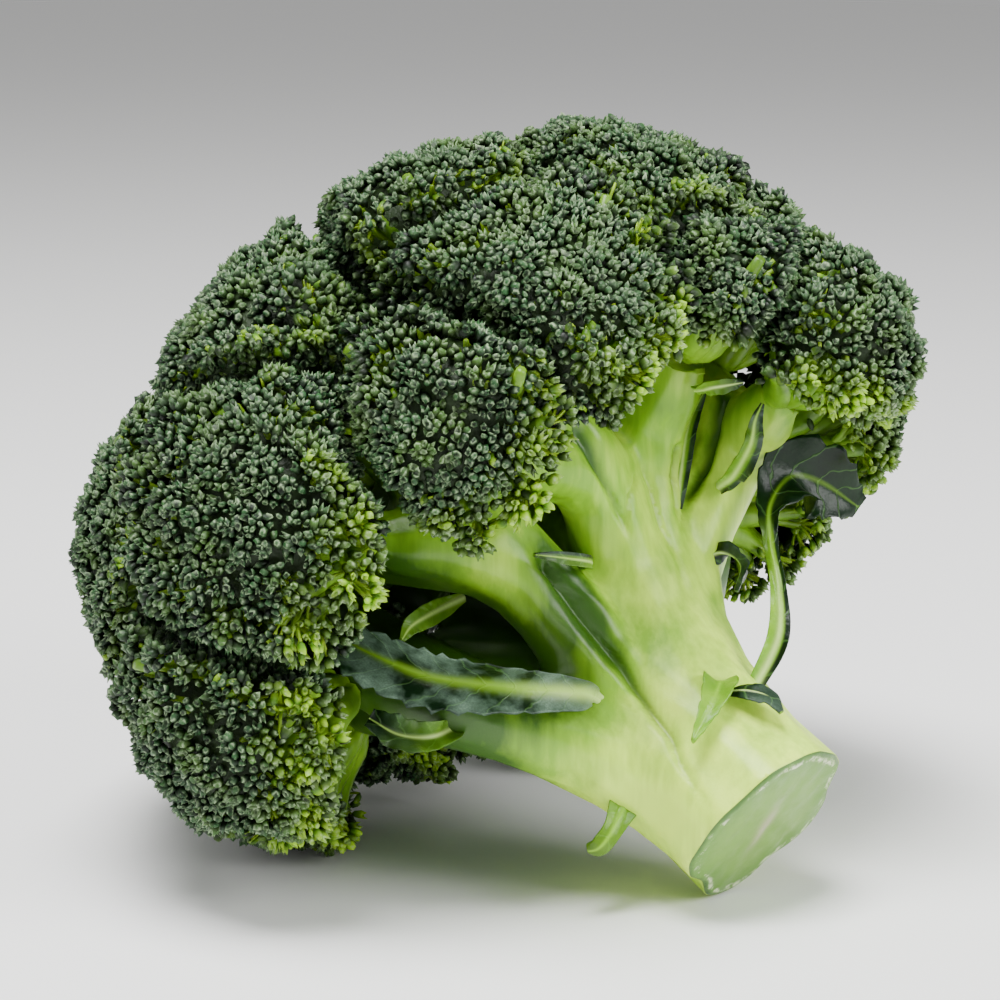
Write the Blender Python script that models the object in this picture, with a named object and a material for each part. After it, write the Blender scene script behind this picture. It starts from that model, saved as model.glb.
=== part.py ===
"""A broccoli head lying on its side: a forked stalk, the bud crowns of its florets and its small leaves.

Everything is first modelled as the plant grows, in the growth frame: the origin is the middle of the
stalk's cut face, +Z runs up the stalk to the crown, and +X is the side that faces up once the head lies
down. An empty then lays the head on the hull face that it rests on. Lengths are in metres.
"""

import math

import bmesh
import bpy
import numpy as np
from mathutils import Matrix, Vector, geometry

MM = 0.001
GAP = 0.3 * MM  # between one piece and the next
SEAM = 0.35 * MM  # from a bud crown to the plane midway to its neighbour

# The crown's envelope and the stalk under it.
CROWN_CENTRE = Vector((0.0, 0.0, 73 * MM))
FORK_HEIGHT = 50 * MM
FORK_SHIFT = Vector((9 * MM, 6 * MM, 0.0))  # the stalk bends towards the upper side on its way up
STALK_SAG = Vector((-3 * MM, -2.5 * MM, 0.0))  # and sags a little halfway to the fork
DOWN_SIDE = Vector((-0.84, 0.0, -0.54))  # towards the surface: the rim of the crown and the cut's edge
RIB_REACH = 9.5 * MM  # from the stalk's middle line to the middle of a rib

# A floret's bud crown is a ball pressed flat by its neighbours, open below like an umbrella.
TIP_DEPTH = 9 * MM  # the branch ends this far behind the ball's middle
UMBRELLA = math.radians(80)  # half angle of the cone that closes it from below
BASE_RADIUS = 5.5 * MM

# Limbs, the stalk's main forks: azimuth round the stalk (degrees), the height at which the limb
# leaves the stalk, the place where it forks (distance from the middle line, height) and its radius
# (millimetres).
LIMBS = {
    "a": (-100, 16, 38, 42, 8.6),
    "b": (-72, 30, 34, 58, 8.6),
    "c": (-28, 44, 24, 63, 8.2),
    "d": (6, 46, 26, 66, 7.4),
    "e": (40, 44, 34, 58, 7.6),
    "f": (100, 36, 30, 58, 8.6),
    "g": (178, 30, 26, 56, 8.6),
}

# Florets: limb, azimuth round the stalk, angle from the stalk's line (degrees),
# radius of the ball, reach from the crown's centre to the outermost bud (millimetres).
FLORETS = {
    "floret_rim_01": ("a", -105, 97, 28, 87),
    "floret_rim_02": ("b", -77, 86, 30, 86),
    "floret_rim_03": ("c", -45, 95, 26, 82),
    "floret_rim_04": ("c", -24, 88, 30, 82),
    "floret_rim_05": ("d", 8, 95, 19, 80),
    "floret_rim_06": ("e", 22, 108, 20, 89),
    "floret_rim_07": ("e", 36, 84, 24, 82),
    "floret_rim_08": ("e", 57, 99, 23, 84),
    "floret_rim_09": ("f", 86, 90, 24, 82),
    "floret_rim_10": ("f", 130, 90, 26, 79),
    "floret_rim_11": ("g", 160, 78, 24, 60),
    "floret_rim_12": ("g", -168, 80, 24, 60),
    "floret_rim_13": ("a", -134, 89, 26, 77),
    "floret_mid_01": ("b", -100, 65, 29, 84),
    "floret_mid_02": ("b", -62, 58, 28, 80),
    "floret_mid_03": ("c", -20, 60, 28, 81),
    "floret_mid_04": ("d", 15, 72, 29, 84),
    "floret_mid_05": ("e", 46, 56, 28, 80),
    "floret_mid_06": ("f", 84, 60, 29, 80),
    "floret_mid_07": ("f", 128, 56, 29, 79),
    "floret_mid_08": ("g", 172, 54, 29, 77),
    "floret_mid_09": ("a", -140, 56, 29, 79),
    "floret_top_01": ("top", -60, 24, 27, 73),
    "floret_top_02": ("top", 50, 22, 27, 77),
    "floret_top_03": ("top", 170, 24, 28, 76),
}


LEAF_THICKNESS = 1.1 * MM
LEAF_STEPS = 9  # cross sections along a leaf
LEAF_FOLD = 0.45  # how far a leaf's edges rise, as a share of its half width

# Leaves: the way the upper face looks, then the midrib's points from the stalk outwards, each with
# the blade's half width there (millimetres). The first point lies just under the stalk's skin.
LEAVES = {
    "large_leaf": (
        (0.5, -0.7, -0.5),
        (
            (6, -18, 33, 2.6), (9, -28, 33, 3.6), (8, -38, 38, 5.0), (4, -46, 47, 6.0),
            (1, -50, 57, 5.2), (-1, -51, 64, 1.2),
        ),
    ),
    "crumpled_leaf": (
        (0.7, -0.5, -0.5),
        (
            (-5, -38, 42, 1.6), (-5, -46, 41, 3.2), (-6, -51, 44, 3.6), (-6, -54, 49, 2.4),
        ),
    ),
    "throat_leaf": (
        (0.5, -0.7, -0.5),
        (
            (4, -25, 62, 1.0), (2, -31, 62, 2.2), (1, -37, 61, 2.0), (0, -41, 59, 0.6),
        ),
    ),
    "sliver_leaf": (
        (0.7, -0.2, -0.7),
        (
            (17, -10, 52, 0.8), (23, -16, 48, 1.3), (26, -25, 48, 1.3), (26, -30, 50, 0.5),
        ),
    ),
    "narrow_leaf": (
        (0.3, -0.5, -0.8),
        (
            (49, 8, 60, 1.2), (52, 7, 57, 1.6), (54, 9, 55, 1.4), (55, 11, 54, 0.5),
        ),
    ),
    "fork_leaf": (
        (0.6, -0.7, -0.4),
        (
            (27, 9, 52, 1.2), (32, 11, 56, 1.8), (38, 14, 61, 1.9), (43, 18, 64, 0.7),
        ),
    ),
    "curly_leaf": (
        (0.5, -0.7, -0.5),
        (
            (32, 17, 51, 1.6), (38, 14, 48, 3.0), (46, 12, 47, 3.0), (51, 11, 48, 2.0),
            (54, 12, 49, 0.6),
        ),
    ),
    "petiole_leaf": (
        (0.5, -0.7, -0.3),
        (
            (15, 5, 18, 1.6), (23, 9, 21, 2.2), (28, 13, 28, 1.6), (31, 17, 36, 1.5),
            (34, 21, 42, 3.4), (37, 28, 45, 7.0), (37, 34, 42, 6.4), (35, 40, 36, 1.6),
        ),
    ),
    "hook_leaf": (
        (0.5, 0.7, -0.3),
        (
            (20, 12, 44, 1.4), (24, 15, 42, 2.0), (24, 16, 38, 1.7), (21, 13, 35, 0.6),
        ),
    ),
    "cut_stub": (
        (0.75, -0.6, -0.1),
        (
            (15, -3, 20, 1.8), (18, -7, 18, 3.0), (16, -12, 15, 3.2), (13, -17, 12, 1.6),
        ),
    ),
    "stub_scrap": (
        (0.9, 0.0, -0.3),
        (
            (16, -2, 14, 1.2), (19, -1, 12, 1.9), (21, -1, 10, 1.9), (20, -2, 7, 0.6),
        ),
    ),
    "lower_stub": (
        (0.1, -0.8, -0.5),
        (
            (-6, -17, 15, 1.8), (-8, -21, 13, 2.2), (-9, -24, 12, 2.4), (-10, -26, 12, 1.4),
        ),
    ),
}


def clear_scene():
    for obj in list(bpy.data.objects):
        bpy.data.objects.remove(obj)


def material(name, colour, roughness):
    made = bpy.data.materials.new(name)
    made.use_nodes = True
    shader = made.node_tree.nodes["Principled BSDF"]
    shader.inputs["Base Color"].default_value = (*colour, 1.0)
    shader.inputs["Roughness"].default_value = roughness
    shader.inputs["Metallic"].default_value = 0.0
    return made


def add_object(name, mesh, finish, head):
    obj = bpy.data.objects.new(name, mesh)
    mesh.materials.append(finish)
    bpy.context.scene.collection.objects.link(obj)
    obj.parent = head
    return obj


def on_circle(azimuth, radius, height=0.0):
    angle = math.radians(azimuth)
    return Vector((radius * math.cos(angle), radius * math.sin(angle), height))


def direction(azimuth, polar):
    """The unit vector at that azimuth round the stalk and that angle from its line."""
    tilt = math.radians(polar)
    return on_circle(azimuth, math.sin(tilt), math.cos(tilt))


def stalk_middle(height):
    """The stalk's middle line sags a little above the cut face and then leans over to the fork."""
    share = min(max(height / FORK_HEIGHT, 0.0), 1.0)
    return FORK_SHIFT * share**3 + STALK_SAG * math.sin(math.pi * share) + Vector((0, 0, height))


class Floret:
    """Where a floret's bud crown sits: the ball's middle, its radius, its axis and its branch's tip."""

    def __init__(self, limb, azimuth, polar, radius, reach):
        self.limb = limb
        self.radius = radius * MM
        self.centre = CROWN_CENTRE + direction(azimuth, polar) * (reach - radius) * MM
        self.axis = (self.centre - stalk_middle(FORK_HEIGHT)).normalized()
        self.tip = self.centre - self.axis * TIP_DEPTH


def skin_distance(floret, others, rays, grow):
    """How far each ray from the ball's middle goes before it leaves the bud crown: the ball's own
    skin, the plane midway to a neighbour, the umbrella's cone or the flat base over the branch.
    Every one of them is moved outwards by grow."""
    reach = np.full(len(rays), floret.radius + grow)
    for other in others:
        apart = other.centre - floret.centre
        midway = (apart.length_squared + floret.radius**2 - other.radius**2) / (2 * apart.length)
        along = np.maximum(rays @ np.array(apart.normalized()), 1e-6)
        reach = np.minimum(reach, (midway - SEAM + grow) / along)
    back = -(rays @ np.array(floret.axis))
    side = np.sqrt(np.maximum(1 - back**2, 0))
    slope = math.tan(UMBRELLA)
    leaning = back * slope + side
    cone = (BASE_RADIUS + (TIP_DEPTH + grow) * slope) / np.maximum(leaning, 1e-6)
    base = (TIP_DEPTH - GAP + grow) / np.maximum(back, 1e-6)
    return np.minimum(np.minimum(reach, cone), base)


def add_crown(shape, floret, others, grow=0.0):
    """An icosphere whose points move out along their rays to the pressed ball's skin."""
    made = bmesh.ops.create_icosphere(shape, subdivisions=3, radius=1.0)["verts"]
    turn = floret.axis.to_track_quat("Z", "Y").to_matrix()
    rays = np.array([(turn @ vert.co).normalized() for vert in made])
    distance = skin_distance(floret, others, rays, grow)
    places = np.array(floret.centre) + rays * distance[:, None]
    for vert, place in zip(made, places):
        vert.co = place


def floret_crown(name, floret, others, finish, head):
    shape = bmesh.new()
    add_crown(shape, floret, others)
    mesh = bpy.data.meshes.new(name)
    shape.to_mesh(mesh)
    shape.free()
    mesh.shade_smooth()
    return add_object(name, mesh, finish, head)


def add_branch(curve, points, radii):
    """A round branch along a NURBS line through these control points, with a radius at each."""
    spline = curve.splines.new("NURBS")
    spline.points.add(len(points) - 1)
    for control, point, radius in zip(spline.points, points, radii):
        control.co = (*point, 1.0)
        control.radius = radius
    spline.order_u = 4
    spline.use_endpoint_u = True


def branch_line(floret):
    """From under the cut face, up its limb's rib, out to the limb's fork and on to the floret."""
    below, knee = -8 * MM, 20 * MM
    past = floret.tip + floret.axis * 6 * MM
    if floret.limb == "top":
        fork = stalk_middle(FORK_HEIGHT)
        points = [stalk_middle(below), stalk_middle(knee), fork, fork.lerp(floret.tip, 0.5), floret.tip, past]
        return points, [r * MM for r in (10, 10, 10, 8, 6.5, 6.5)]
    azimuth, leaves, reach, height, thick = LIMBS[floret.limb]
    side = on_circle(azimuth, 1.0)
    middle = stalk_middle(leaves * MM)
    fork = stalk_middle(height * MM) + side * reach * MM
    points = [
        stalk_middle(below) + side * RIB_REACH,
        stalk_middle(leaves * MM * 0.4) + side * RIB_REACH * 0.95,
        middle + side * RIB_REACH * 0.9,
        middle.lerp(fork, 0.5) + side * RIB_REACH * 0.2,
        fork,
        fork.lerp(floret.tip, 0.6),
        floret.tip,
        past,
    ]
    radii = (9.2, 8.6, thick, thick, thick * 0.9, 6.6, 5.6, 5.6)
    return points, [r * MM for r in radii]


def joined_mesh(name, curve):
    """The curve's own mesh, made real, and the curve removed."""
    holder = bpy.data.objects.new(name, curve)
    bpy.context.scene.collection.objects.link(holder)
    graph = bpy.context.evaluated_depsgraph_get()
    mesh = bpy.data.meshes.new_from_object(holder.evaluated_get(graph))
    bpy.data.objects.remove(holder)
    return mesh


def hidden_cutter(name, mesh, head):
    cutter = bpy.data.objects.new(name, mesh)
    bpy.context.scene.collection.objects.link(cutter)
    cutter.parent = head
    cutter.hide_render = True
    cutter.display_type = "WIRE"
    return cutter


def stalk_cutter(florets, head):
    """The bud crowns grown by the gap, which end each branch under its crown, and a slab that ends
    the stalk at the cut face."""
    shape = bmesh.new()
    for floret in florets:
        add_crown(shape, floret, [other for other in florets if other is not floret], GAP)
    slab = 60 * MM
    below = Matrix.Translation((0, 0, -slab / 2)) @ Matrix.Scale(slab, 4)
    bmesh.ops.create_cube(shape, size=1.0, matrix=below)
    mesh = bpy.data.meshes.new("stalk_cutter")
    shape.to_mesh(mesh)
    shape.free()
    return hidden_cutter("stalk_cutter", mesh, head)


def stalk(florets, finish, head):
    """Every branch runs down into the stalk as a rib. A voxel remesh grows them into one another."""
    curve = bpy.data.curves.new("branches", "CURVE")
    curve.dimensions = "3D"
    curve.bevel_depth = 1.0
    curve.bevel_resolution = 3
    curve.resolution_u = 6
    curve.use_fill_caps = True
    for floret in florets:
        add_branch(curve, *branch_line(floret))
    core = [stalk_middle(h * MM) for h in (-8, 15, 30, 46)]
    add_branch(curve, core, [r * MM for r in (14, 12.5, 13.5, 11)])
    obj = add_object("stalk", joined_mesh("stalk", curve), finish, head)
    grow = obj.modifiers.new("grow_together", "REMESH")
    grow.mode = "VOXEL"
    grow.voxel_size = 1.6 * MM
    grow.use_smooth_shade = True
    soften = obj.modifiers.new("soften", "SMOOTH")
    soften.factor = 0.5
    soften.iterations = 8
    fewer = obj.modifiers.new("fewer_faces", "DECIMATE")
    fewer.ratio = 0.05
    trim = obj.modifiers.new("trim", "BOOLEAN")
    trim.operation = "DIFFERENCE"
    trim.object = stalk_cutter(florets, head)
    return obj


def stalk_clearance(stalk_piece, head):
    """The stalk grown by the gap on every side, which trims each leaf's base to the stalk's skin."""
    graph = bpy.context.evaluated_depsgraph_get()
    mesh = bpy.data.meshes.new_from_object(stalk_piece.evaluated_get(graph))
    cutter = hidden_cutter("leaf_base_cutter", mesh, head)
    grow = cutter.modifiers.new("gap", "DISPLACE")
    grow.strength = GAP
    grow.mid_level = 0.0
    return cutter


def smooth_path(points, steps):
    """Catmull-Rom: each span is a cubic whose slope at a point is half the step across it."""
    ends = np.vstack([2 * points[0] - points[1], points, 2 * points[-1] - points[-2]])
    place = np.linspace(0, len(points) - 1, steps)
    span = np.minimum(place.astype(int), len(points) - 2)
    t = (place - span)[:, None]
    a, b, c, d = (ends[span + shift] for shift in range(4))
    return b + t * (c - a) / 2 + t**2 * (a - 2.5 * b + 2 * c - d / 2) + t**3 * (1.5 * (b - c) + (d - a) / 2)


def leaf(name, face, outline, finish, cutter, head):
    """A blade along its midrib, its edges raised towards the upper face, with a wall's thickness."""
    path = smooth_path(np.array(outline, dtype=float), LEAF_STEPS) * MM
    rib, half = path[:, :3], path[:, 3:]
    along = np.gradient(rib, axis=0)
    side = np.cross(along, face)
    side /= np.linalg.norm(side, axis=1)[:, None]
    up = np.cross(side, along)
    up /= np.linalg.norm(up, axis=1)[:, None]
    across = (-1.0, -0.5, 0.0, 0.5, 1.0)
    rows = [rib + side * half * v + up * half * LEAF_FOLD * v * v for v in across]
    points = np.stack(rows, axis=1).reshape(-1, 3)
    wide = len(across)
    faces = [
        (row * wide + i, (row + 1) * wide + i, (row + 1) * wide + i + 1, row * wide + i + 1)
        for row in range(LEAF_STEPS - 1)
        for i in range(wide - 1)
    ]
    mesh = bpy.data.meshes.new(name)
    mesh.from_pydata(points.tolist(), [], faces)
    mesh.shade_smooth()
    obj = add_object(name, mesh, finish, head)
    wall = obj.modifiers.new("wall", "SOLIDIFY")
    wall.thickness = LEAF_THICKNESS
    wall.offset = 0.0
    trim = obj.modifiers.new("trim_base", "BOOLEAN")
    trim.operation = "DIFFERENCE"
    trim.object = cutter
    return obj


def finished_points(obj, graph):
    """The object's corners and triangles as its modifiers leave them."""
    mesh = obj.evaluated_get(graph).to_mesh()
    mesh.calc_loop_triangles()
    places = np.array([tuple(vert.co) for vert in mesh.vertices])
    faces = np.array([tuple(tri.vertices) for tri in mesh.loop_triangles])
    obj.evaluated_get(graph).to_mesh_clear()
    return places, faces


def centre_of_mass(meshes):
    """The mean of the tetrahedra that each triangle makes with the origin, weighted by volume."""
    moment, volume = np.zeros(3), 0.0
    for places, faces in meshes:
        a, b, c = (places[faces[:, corner]] for corner in range(3))
        parts = np.einsum("ij,ij->i", a, np.cross(b, c)) / 6
        moment += (parts[:, None] * (a + b + c) / 4).sum(axis=0)
        volume += parts.sum()
    return Vector(moment / volume)


def resting_face(meshes):
    """The normal of the hull face that the head lies on: of those under its centre of mass, the one
    nearest the side that faces down."""
    hull = bmesh.new()
    for place in np.concatenate([places for places, _ in meshes]):
        hull.verts.new(place)
    found = bmesh.ops.convex_hull(hull, input=hull.verts)["geom"]
    mass = centre_of_mass(meshes)
    best = -DOWN_SIDE
    for face in (item for item in found if isinstance(item, bmesh.types.BMFace)):
        normal = face.normal
        foot = mass - normal * (mass - face.verts[0].co).dot(normal)
        corners = [vert.co for vert in face.verts]
        if geometry.intersect_point_tri(foot, *corners) and normal.dot(DOWN_SIDE) > best.dot(DOWN_SIDE):
            best = normal.copy()
    hull.free()
    return best


def lay_down(head, pieces):
    """Turns the resting face down, with the crown towards -X, and puts the bottom centre at the origin."""
    graph = bpy.context.evaluated_depsgraph_get()
    meshes = [finished_points(piece, graph) for piece in pieces]
    up = -resting_face(meshes)
    stalk_way = -(Vector((0, 0, 1)) - up * up.z).normalized()
    turn = Matrix((stalk_way, up.cross(stalk_way), up))
    turned = np.concatenate([places for places, _ in meshes]) @ np.array(turn).T
    low, high = turned.min(axis=0), turned.max(axis=0)
    head.rotation_euler = turn.to_euler()
    head.location = (-(low[0] + high[0]) / 2, -(low[1] + high[1]) / 2, -low[2])


def build():
    clear_scene()
    head = bpy.data.objects.new("lying_head", None)
    bpy.context.scene.collection.objects.link(head)
    buds = material("bud_green", (0.05, 0.12, 0.055), 0.6)
    bloom = material("leaf_green", (0.13, 0.24, 0.14), 0.5)
    flesh = material("stalk_green", (0.50, 0.64, 0.24), 0.4)
    florets = {name: Floret(*values) for name, values in FLORETS.items()}
    pieces = []
    for name, floret in florets.items():
        others = [other for other in florets.values() if other is not floret]
        pieces.append(floret_crown(name, floret, others, buds, head))
    trunk = stalk(list(florets.values()), flesh, head)
    cutter = stalk_clearance(trunk, head)
    blades = [leaf(name, face, outline, bloom, cutter, head) for name, (face, outline) in LEAVES.items()]
    lay_down(head, [*pieces, trunk, *blades])


build()
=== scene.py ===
import math

import bmesh
import bpy
import numpy as np
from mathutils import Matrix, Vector


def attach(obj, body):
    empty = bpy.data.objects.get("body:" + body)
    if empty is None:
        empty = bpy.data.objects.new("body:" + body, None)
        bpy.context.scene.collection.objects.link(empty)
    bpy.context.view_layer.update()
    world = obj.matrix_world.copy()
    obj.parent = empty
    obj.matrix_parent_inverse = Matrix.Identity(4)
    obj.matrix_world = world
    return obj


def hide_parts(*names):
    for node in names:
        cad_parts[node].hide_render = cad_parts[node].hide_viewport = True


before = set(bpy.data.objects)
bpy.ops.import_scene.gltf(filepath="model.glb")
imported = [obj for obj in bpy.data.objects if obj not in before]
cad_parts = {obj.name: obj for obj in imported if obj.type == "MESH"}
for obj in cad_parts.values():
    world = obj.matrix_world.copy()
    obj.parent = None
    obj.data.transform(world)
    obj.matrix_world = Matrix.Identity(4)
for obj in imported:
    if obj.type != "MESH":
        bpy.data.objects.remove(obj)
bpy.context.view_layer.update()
mm = 0.001
print("broccoli head: frame loaded,", len(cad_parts), "nodes")

# How the head lies: the growth frame starts at the middle of the stalk's cut face, its z runs up
# the stalk and its x is the side that faces up. Millimetres, apart from the origin.
growth = {
    "origin": (0.06357, 0.00139, 0.01555),
    "tiltDegrees": 32.55,
    "fork": (9, 6, 50),
    "crownMiddle": (0, 0, 73),
}


# growth axes as rows in the row frame: x up and across, y along, z up the stalk
def growthAxes():
    tilt = math.radians(growth["tiltDegrees"])
    up = (math.sin(tilt), 0.0, math.cos(tilt))
    along = (-math.cos(tilt), 0.0, math.sin(tilt))
    return np.array([up, (0.0, 1.0, 0.0), along])


axesOfGrowth = growthAxes()


# origin + x*X + y*Y + z*Z, from millimetres to metres
def placed(points):
    return np.asarray(growth["origin"]) + np.asarray(points, float) * mm @ axesOfGrowth


# the other way: metres in the row frame to millimetres along the growth axes
def grown(points):
    return (points - np.asarray(growth["origin"])) @ axesOfGrowth.T / mm


# a mesh's own points along the growth axes
def pointsOf(mesh):
    flat = np.zeros(len(mesh.vertices) * 3)
    mesh.vertices.foreach_get("co", flat)
    return grown(flat.reshape(-1, 3))


def unit(v):
    return v / np.maximum(np.linalg.norm(v, axis=-1, keepdims=True), 1e-12)


# 0 below low, 1 above high, 3t^2 - 2t^3 between
def ease(value, low, high):
    t = np.clip((value - low) / (high - low), 0, 1)
    return t * t * (3 - 2 * t)


# sum of a few sine waves in random directions: smooth noise from about -1 to 1
def waves(points, size, rng, count=7):
    ways = unit(rng.normal(size=(count, 3))) * rng.uniform(0.7, 1.4, (count, 1)) * 2 * np.pi / size
    starts = rng.uniform(0, 2 * np.pi, count)
    return np.sin(points @ ways.T + starts).sum(axis=1) / math.sqrt(count)


# faceSets is a list of index arrays, one row per face
def meshFrom(name, points, faceSets, values, material):
    mesh = bpy.data.meshes.new(name)
    loops = np.concatenate([faces.ravel() for faces in faceSets]).astype(np.int32)
    sizes = np.concatenate([np.full(len(faces), faces.shape[1]) for faces in faceSets])
    starts = (np.cumsum(sizes) - sizes).astype(np.int32)
    mesh.vertices.add(len(points))
    mesh.loops.add(len(loops))
    mesh.polygons.add(len(sizes))
    mesh.vertices.foreach_set("co", np.asarray(points, np.float32).ravel())
    mesh.loops.foreach_set("vertex_index", loops)
    mesh.polygons.foreach_set("loop_start", starts)
    mesh.update(calc_edges=True)
    mesh.shade_smooth()
    for key, value in values.items():
        attribute = mesh.attributes.new(key, "FLOAT", "POINT")
        attribute.data.foreach_set("value", np.asarray(value, np.float32))
    mesh.materials.append(material)
    return mesh


def newObject(name, data):
    made = bpy.data.objects.new(name, data)
    bpy.context.scene.collection.objects.link(made)
    return made


def addPiece(name, mesh, slot, *nodes):
    piece = newObject(name, mesh)
    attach(piece, "root")
    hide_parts(*nodes)


# Shader helpers


class Nodes:
    # a short way to write a material's nodes and links
    def __init__(self, tree):
        self.tree = tree

    def add(self, kind, inputs=None, **settings):
        node = self.tree.nodes.new(kind)
        for key, value in settings.items():
            setattr(node, key, value)
        for key, value in (inputs or {}).items():
            if isinstance(value, bpy.types.NodeSocket):
                self.tree.links.new(value, node.inputs[key])
            else:
                node.inputs[key].default_value = value
        return node

    def attribute(self, name):
        return self.add("ShaderNodeAttribute", attribute_name=name).outputs["Fac"]

    def math(self, operation, a, b=0.0, clamp=False):
        node = self.add("ShaderNodeMath", {0: a, 1: b}, operation=operation, use_clamp=clamp)
        return node.outputs[0]

    def times(self, a, b, clamp=False):
        return self.math("MULTIPLY", a, b, clamp)

    def mix(self, amount, a, b):
        inputs = {"Factor": amount, 6: a, 7: b}
        return self.add("ShaderNodeMix", inputs, data_type="RGBA").outputs[2]

    def ramp(self, value, stops):
        node = self.add("ShaderNodeValToRGB", {"Fac": value})
        band = node.color_ramp
        while len(band.elements) < len(stops):
            band.elements.new(0.5)
        for element, (place, colour) in zip(band.elements, stops):
            element.position = place
            element.color = colour
        return node.outputs["Color"]

    def spread(self, value, low, high, outLow=0.0, outHigh=1.0):
        inputs = {"Value": value, "From Min": low, "From Max": high, "To Min": outLow, "To Max": outHigh}
        return self.add("ShaderNodeMapRange", inputs).outputs["Result"]

    def place(self):
        return self.add("ShaderNodeTexCoord").outputs["Object"]

    def noise(self, vector, scale, detail=3.0, rough=0.55):
        inputs = {"Vector": vector, "Scale": scale, "Detail": detail, "Roughness": rough}
        return self.add("ShaderNodeTexNoise", inputs).outputs["Fac"]

    def bump(self, height, strength, distance):
        inputs = {"Height": height, "Strength": strength, "Distance": distance}
        return self.add("ShaderNodeBump", inputs).outputs["Normal"]

    def feed(self, sockets, values):
        for key, value in values.items():
            self.tree.links.new(value, sockets[key])


def rgb(r, g, b):
    return (r, g, b, 1.0)


def newMaterial(name, fixed):
    material = bpy.data.materials.new(name)
    material.use_nodes = True
    shader = material.node_tree.nodes["Principled BSDF"]
    for key, value in fixed.items():
        shader.inputs[key].default_value = value
    return material, Nodes(material.node_tree), shader


# Camera: as the head is seen, from the cut stalk's side and a little above
camera = {"azimuth": 43.7, "elevation": 11.9, "distance": 0.56, "lens": 107.9, "aim": (0.0, 0.0, 0.0645)}


def makeCamera():
    azimuth, elevation = (math.radians(camera[key]) for key in ("azimuth", "elevation"))
    flat = math.cos(elevation)
    back = Vector((math.sin(azimuth) * flat, -math.cos(azimuth) * flat, math.sin(elevation)))
    data = bpy.data.cameras.new("studioCamera")
    data.lens = camera["lens"]
    data.sensor_width = 36
    data.clip_start = 0.01
    made = newObject("studioCamera", data)
    made.location = Vector(camera["aim"]) + back * camera["distance"]
    made.rotation_mode = "QUATERNION"
    made.rotation_quaternion = (-back).to_track_quat("-Z", "Y")
    bpy.context.scene.camera = made


# Floor and light
studio = {
    "floorSize": 6.0,
    "floorColour": (0.93, 0.93, 0.92),
    "worldColour": (1.0, 1.0, 1.0),
    "worldStrength": 0.42,
    "lamps": {  # place, size and watts
        "topLamp": ((0.05, -0.25, 1.0), 0.5, 22.0),
        "rightLamp": ((0.95, 0.25, 0.55), 0.6, 11.0),
        "leftLamp": ((-0.75, -0.65, 0.6), 0.6, 0.9),
    },
}


def makeStudio():
    size = studio["floorSize"] / 2
    corners = np.array([(-size, -size, 0), (size, -size, 0), (size, size, 0), (-size, size, 0)])
    finish = {"Roughness": 0.9, "Base Color": rgb(*studio["floorColour"])}
    material = newMaterial("paleFloor", finish)[0]
    mesh = meshFrom("paleFloor", corners, [np.array([[0, 1, 2, 3]])], {}, material)
    floor = newObject("paleFloor", mesh)
    world = bpy.data.worlds.new("studioAir")
    world.use_nodes = True
    sky = world.node_tree.nodes["Background"]
    sky.inputs["Color"].default_value = rgb(*studio["worldColour"])
    sky.inputs["Strength"].default_value = studio["worldStrength"]
    bpy.context.scene.world = world
    for name, (place, across, watts) in studio["lamps"].items():
        data = bpy.data.lights.new(name, "AREA")
        data.size = across
        data.energy = watts
        lamp = newObject(name, data)
        lamp.location = place
        aim = Vector((0, 0, 0.06)) - lamp.location
        lamp.rotation_mode = "QUATERNION"
        lamp.rotation_quaternion = aim.to_track_quat("-Z", "Y")


makeCamera()
makeStudio()
print("camera, floor and lamps placed")


# Effects that several materials share


def newGroup(name, inputs, outputs):
    group = bpy.data.node_groups.new(name, "ShaderNodeTree")
    for label, kind, value in inputs:
        made = group.interface.new_socket(label, in_out="INPUT", socket_type=kind)
        if value is not None:
            made.default_value = value
    for label, kind in outputs:
        group.interface.new_socket(label, in_out="OUTPUT", socket_type=kind)
    start = group.nodes.new("NodeGroupInput")
    end = group.nodes.new("NodeGroupOutput")
    return group, Nodes(group), start.outputs, end.inputs


# waxy bloom: two noises multiplied, as a pale mask in soft patches with a fine grain in them
def makeBloomGroup():
    colour, number = "NodeSocketColor", "NodeSocketFloat"
    inputs = [("Colour", colour, None), ("Bloom Colour", colour, None)]
    inputs += [("Amount", number, 0.5), ("Patch Scale", number, 90.0)]
    group, n, given, out = newGroup("waxyBloom", inputs, [("Colour", colour), ("Mask", number)])
    place = n.place()
    patch = n.spread(n.noise(place, given["Patch Scale"]), 0.4, 0.68)
    grain = n.spread(n.noise(place, 2600.0, 2.0), 0.3, 0.75, 0.55, 1.0)
    mask = n.times(n.times(patch, grain), given["Amount"], clamp=True)
    n.feed(out, {"Colour": n.mix(mask, given["Colour"], given["Bloom Colour"]), "Mask": mask})
    return group


# flesh grain: fine pits and long faint fibres, as one height
def makeFleshGroup():
    number = "NodeSocketFloat"
    inputs = [("Fibre Scale", number, 500.0), ("Pit Scale", number, 1800.0)]
    group, n, given, out = newGroup("fleshGrain", inputs, [("Height", number), ("Fibre", number)])
    turn = (0.0, math.radians(growth["tiltDegrees"]) - math.pi / 2, 0.0)
    inputs = {"Vector": n.place(), "Rotation": turn, "Scale": (1.0, 1.0, 0.09)}
    lying = n.add("ShaderNodeMapping", inputs)
    fibre = n.noise(lying.outputs["Vector"], given["Fibre Scale"], 3.0)
    pits = n.noise(n.place(), given["Pit Scale"], 2.0)
    height = n.math("ADD", n.times(fibre, 0.7), n.times(pits, 0.3))
    n.feed(out, {"Height": height, "Fibre": fibre})
    return group


bloomGroup = makeBloomGroup()
fleshGroup = makeFleshGroup()


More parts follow.
